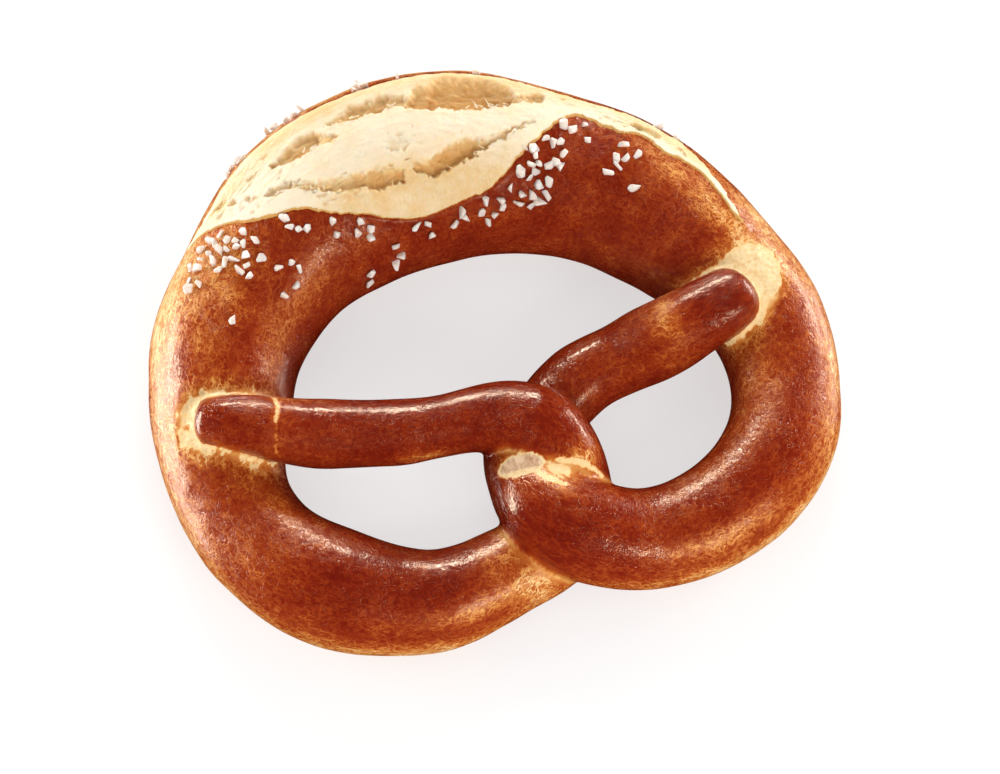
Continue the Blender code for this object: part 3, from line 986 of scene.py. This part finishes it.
def noiseField(tree, vector, scale, detail=2.0, roughness=0.5):
    node = addNode(tree, "ShaderNodeTexNoise", {"Vector": vector, "Scale": scale, "Detail": detail,
                                                "Roughness": roughness})
    return node.outputs["Fac"]


def vectorMath(tree, operation, first, second):
    return addNode(tree, "ShaderNodeVectorMath", {0: first, 1: second}, operation=operation).outputs[0]


def stretched(tree, vector, scale):
    return vectorMath(tree, "MULTIPLY", vector, scale)


def warped(tree, vector, scale, reach):
    # the vector, shifted by slow noise
    cloud = addNode(tree, "ShaderNodeTexNoise", {"Vector": vector, "Scale": scale, "Detail": 2.0})
    shift = vectorMath(tree, "SUBTRACT", cloud.outputs["Color"], (0.5, 0.5, 0.5))
    return vectorMath(tree, "ADD", vector, vectorMath(tree, "MULTIPLY", shift, (reach, reach, reach)))


def colourRun(tree, value, stops):
    node = addNode(tree, "ShaderNodeValToRGB", {"Fac": value})
    marks = node.color_ramp.elements
    while len(marks) < len(stops):
        marks.new(0.5)
    for mark, (place, shade) in zip(marks, stops):
        mark.position = place
        mark.color = shade
    return node.outputs["Color"]


def mixed(tree, share, first, second):
    node = addNode(tree, "ShaderNodeMix", {0: share, 6: first, 7: second}, data_type="RGBA")
    return node.outputs[2]


def attribute(tree, name, output="Fac"):
    return addNode(tree, "ShaderNodeAttribute", attribute_name=name).outputs[output]


def veins(tree, vector, scale, width, seed):
    # short thin wandering lines where a noise crosses its middle
    own = vectorMath(tree, "ADD", vector, (seed, seed * 1.7, seed * 0.6))
    field = noiseField(tree, own, scale, 2.0, 0.55)
    off = calculate(tree, "ABSOLUTE", calculate(tree, "SUBTRACT", field, 0.5))
    broken = fade(tree, noiseField(tree, own, scale * 0.55, 2.0), 0.35, 0.53)
    return calculate(tree, "MULTIPLY", fade(tree, off, width, width * 0.35), broken)


def crustMaterial():
    material, tree, shader = newMaterial("crust")
    place = attribute(tree, "ropeSpace", "Vector")
    spot = addNode(tree, "ShaderNodeTexCoord").outputs["Object"]
    wander = warped(tree, place, 0.45, 2.2)
    lengthwise = veins(tree, stretched(tree, wander, (0.5, 1.0, 1.0)), 0.85, 0.062, 0.0)
    crosswise = veins(tree, stretched(tree, wander, (1.0, 0.7, 0.7)), 0.85, 0.052, 37.0)
    fine = veins(tree, stretched(tree, wander, (0.7, 1.0, 1.0)), 1.5, 0.06, 71.0)
    veined = calculate(tree, "MAXIMUM", lengthwise, calculate(tree, "MULTIPLY", crosswise, 0.75))
    veined = calculate(tree, "MAXIMUM", veined, calculate(tree, "MULTIPLY", fine, 0.6))
    steady = attribute(tree, "steady")
    veined = calculate(tree, "MULTIPLY", veined, fade(tree, attribute(tree, "fold"), 0.0, 0.6, 1.0, 0.0))
    veined = calculate(tree, "MULTIPLY", veined, steady)
    broad = noiseField(tree, place, 0.12, 3.0, 0.6)
    grain = noiseField(tree, place, 0.9, 3.0, 0.6)
    mottle = calculate(tree, "MULTIPLY_ADD", calculate(tree, "SUBTRACT", grain, 0.5), 0.5,
                       calculate(tree, "SUBTRACT", broad, 0.5))
    mottle = calculate(tree, "MULTIPLY", mottle, steady)
    # the baked level, which holds painted highlight in some patches
    level = calculate(tree, "MULTIPLY_ADD", mottle, 0.42, attribute(tree, "bakeAndHighlight"))
    level = calculate(tree, "MULTIPLY_ADD", veined, fade(tree, level, 0.1, 0.6, 0.18, 0.37), level)
    torn = calculate(tree, "SUBTRACT", noiseField(tree, spot, 900.0, 3.0, 0.6), 0.5)
    ragged = calculate(tree, "MULTIPLY_ADD", torn, 0.45, attribute(tree, "crack"))
    rim = fade(tree, attribute(tree, "tear"), -0.28, 0.0)
    level = calculate(tree, "MULTIPLY_ADD", fade(tree, ragged, 0.02, 0.5), 0.55, level)
    level = calculate(tree, "MULTIPLY_ADD", rim, 0.22, level)
    baked = colourRun(tree, level, (
        (0.0, colour(96, 16, 8)), (0.2, colour(124, 31, 12)), (0.4, colour(152, 55, 18)),
        (0.6, colour(184, 92, 30)), (0.8, colour(218, 146, 70)), (1.0, colour(244, 206, 146))))
    bare = colourRun(tree, noiseField(tree, spot, 1100.0, 4.0, 0.65), (
        (0.3, colour(226, 186, 122)), (0.6, colour(242, 216, 168))))
    final = mixed(tree, fade(tree, ragged, 0.45, 0.8), baked, bare)
    streaks = noiseField(tree, stretched(tree, wander, (0.45, 1.0, 1.0)), 0.8, 4.0, 0.65)
    pleats = colourRun(tree, streaks, (
        (0.36, colour(172, 124, 96)), (0.5, colour(206, 162, 130)), (0.62, colour(236, 204, 168))))
    final = mixed(tree, fade(tree, attribute(tree, "flap"), 0.2, 0.8, 0.0, 0.85), final, pleats)
    rough = calculate(tree, "MULTIPLY_ADD", noiseField(tree, place, 0.35, 3.0), 0.10,
                      fade(tree, level, 0.2, 0.7, 0.09, 0.28))
    rough = calculate(tree, "MULTIPLY_ADD", fade(tree, ragged, 0.3, 0.8), 0.4, rough)
    frosty = fade(tree, noiseField(tree, place, 0.10, 2.0), 0.38, 0.60, 0.45, 1.0)
    crinkle = calculate(tree, "MULTIPLY_ADD", veined, 0.05, calculate(tree, "MULTIPLY", grain, 0.11))
    lumps = calculate(tree, "MULTIPLY", noiseField(tree, place, 0.3, 2.0), 0.20)
    height = calculate(tree, "MULTIPLY_ADD", crinkle, frosty, lumps)
    height = calculate(tree, "MULTIPLY", height, steady)
    bump = addNode(tree, "ShaderNodeBump", {"Height": height, "Strength": 1.0, "Distance": mm})
    setInputs(tree, shader, {
        "Base Color": final, "Roughness": rough, "Normal": bump.outputs["Normal"], "IOR": 1.45,
        "Specular Tint": (1.0, 0.81, 0.54, 1)})
    return material


def crumbMaterial():
    material, tree, shader = newMaterial("crumb")
    place = attribute(tree, "ropeSpace", "Vector")
    pores = noiseField(tree, warped(tree, place, 0.5, 1.5), 1.3, 5.0, 0.7)
    cloud = noiseField(tree, place, 0.13, 3.0, 0.6)
    # its depth drives the colour: darker and yellower in hollows and pores, partly their own tone and partly
    # painted shade
    deep = attribute(tree, "hollow")
    for field, middle, by in ((pores, 0.5, 1.3), (cloud, 0.45, 2.2)):
        deep = calculate(tree, "MULTIPLY_ADD", calculate(tree, "SUBTRACT", field, middle), by, deep)
    axes = addNode(tree, "ShaderNodeSeparateXYZ", {"Vector": place}).outputs
    # darker and yellower towards the inner and far edges, and paler towards the left end, that paleness
    # painted light
    for axis, low, high, by in (("Y", -4.0, -13.0, 1.0), ("Y", 7.0, 14.0, 1.1), ("X", 266.0, 246.0, -0.6)):
        deep = calculate(tree, "ADD", deep, fade(tree, axes[axis], low, high, 0.0, by))
    crumbToneAndShade = colourRun(tree, fade(tree, deep, -0.8, 3.4), (
        (0.0, colour(246, 230, 204)), (0.25, colour(241, 218, 180)), (0.5, colour(233, 198, 142)),
        (1.0, colour(216, 164, 98))))
    edge = fade(tree, calculate(tree, "MULTIPLY_ADD", pores, 0.5, attribute(tree, "tear")), 0.30, 0.08)
    bump = addNode(tree, "ShaderNodeBump", {"Height": pores, "Strength": 0.6, "Distance": 0.4 * mm})
    setInputs(tree, shader, {
        "Base Color": mixed(tree, edge, crumbToneAndShade, colour(222, 166, 92)), "Roughness": 0.8, "IOR": 1.3,
        "Subsurface Weight": 0.5, "Subsurface Radius": (1.0, 0.6, 0.3), "Subsurface Scale": 0.002,
        "Normal": bump.outputs["Normal"]})
    return material


def saltMaterial():
    material, tree, shader = newMaterial("salt")
    place = addNode(tree, "ShaderNodeTexCoord").outputs["Object"]
    cloudy = noiseField(tree, place, 900.0, 3.0, 0.6)
    shade = colourRun(tree, cloudy, ((0.3, colour(240, 216, 200)), (0.7, colour(253, 240, 230))))
    setInputs(tree, shader, {
        "Base Color": shade, "Roughness": fade(tree, cloudy, 0.3, 0.7, 0.25, 0.45),
        "Transmission Weight": 0.1, "Subsurface Weight": 0.6, "Subsurface Radius": (1.0, 0.8, 0.65),
        "Subsurface Scale": 0.0015})
    return material


crust, smoothSkin = makeCrust()
crust.data.materials.append(crustMaterial())
print("crust", len(crust.data.polygons), "faces")
crumbPiece = makeCrumb(smoothSkin)
crumbPiece.data.materials.append(crumbMaterial())
print("crumb", len(crumbPiece.data.polygons), "faces")

saltPiece = makeSalt(crust, saltMaterial())
print("salt", len(saltPiece.data.polygons), "faces")
for piece, slot in ((crust, "crust"), (crumbPiece, "crumb"), (saltPiece, "salt")):
    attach(piece, "root")
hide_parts("pretzel")


# The studio

studio = {
    "target": (0.0006, -0.0113, 0.012),
    "azimuth": -15,
    "elevation": 65,
    "distance": 0.535,
    "lens": 85,
    "lamps": (  # azimuth, elevation, distance, size, watts, and whether it only glints
        ("back", 169, 34, 0.7, (0.44, 0.22), 2.3, False),
        ("front", 10, 30, 0.7, (0.5, 0.3), 3.0, False),
        ("right", 108, 7, 0.6, (0.24, 0.12), 1.8, False),
        ("left", -113, 7, 0.6, (0.34, 0.14), 2.2, False),
        ("backGlint", 174, 29, 0.7, (0.5, 0.08), 8.5, True),
        ("frontGlint", 30, 24, 0.7, (0.2, 0.08), 1.6, True),
        ("rightGlint", 108, 8, 0.6, (0.26, 0.12), 2.6, True),
        ("leftGlint", -113, 8, 0.6, (0.36, 0.16), 5.4, True),
        # below the floor, which casts no shadow: the pale table that the crust mirrors
        ("rightLow", 100, -17, 0.6, (0.30, 0.16), 0.9, True),
        ("leftLow", -105, -14, 0.6, (0.40, 0.20), 3.6, True),
    ),
    "skyLight": 0.6,
    "floor": 2.0,       # metres from its middle to its edge
}


def lookAlong(azimuth, elevation):
    a, e = math.radians(azimuth), math.radians(elevation)
    return Vector((math.sin(a) * math.cos(e), -math.cos(a) * math.cos(e), math.sin(e)))


def placeCamera():
    back = lookAlong(studio["azimuth"], studio["elevation"])
    right = Vector((0, 0, 1)).cross(back).normalized()
    camera = bpy.data.objects.new("camera", bpy.data.cameras.new("camera"))
    camera.data.lens = studio["lens"]
    camera.data.clip_start = 0.01
    turn = Matrix((right, back.cross(right), back)).transposed()
    place = Vector(studio["target"]) + back * studio["distance"]
    camera.matrix_world = Matrix.Translation(place) @ turn.to_4x4()
    scene.collection.objects.link(camera)
    scene.camera = camera


def softbox(name, azimuth, elevation, distance, size, watts, glossy):
    # a soft lamp that either lights the surfaces or only shows as a highlight on them
    lamp = bpy.data.lights.new(name, "AREA")
    lamp.shape = "RECTANGLE"
    lamp.size, lamp.size_y = size
    lamp.energy = watts
    back = lookAlong(azimuth, elevation)
    light = bpy.data.objects.new(name, lamp)
    light.location = Vector(studio["target"]) + back * distance
    light.rotation_euler = back.to_track_quat("Z", "Y").to_euler()
    light.visible_glossy = glossy
    light.visible_diffuse = not glossy
    scene.collection.objects.link(light)


def lightStudio():
    for lamp in studio["lamps"]:
        softbox(*lamp)
    world = bpy.data.worlds.new("studio")
    world.use_nodes = True
    tree = world.node_tree
    setInputs(tree, tree.nodes["Background"], {"Color": (1, 1, 1, 1), "Strength": studio["skyLight"]})
    world.cycles_visibility.glossy = False
    scene.world = world
    scene.view_settings.view_transform = "Standard"


def layFloor():
    mesh = bpy.data.meshes.new("floor")
    s = studio["floor"]
    mesh.from_pydata([(-s, -s, 0), (s, -s, 0), (s, s, 0), (-s, s, 0)], [], [(0, 1, 2, 3)])
    floor = newPiece("floor", mesh)
    material, tree, shader = newMaterial("paleFloor")
    setInputs(tree, shader, {"Base Color": (0.4, 0.4, 0.4, 1), "Roughness": 0.9,
                             "Emission Color": (1, 1, 1, 1), "Emission Strength": 0.6})
    mesh.materials.append(material)
    floor.visible_glossy = False
    floor.visible_shadow = False


placeCamera()
lightStudio()
layFloor()
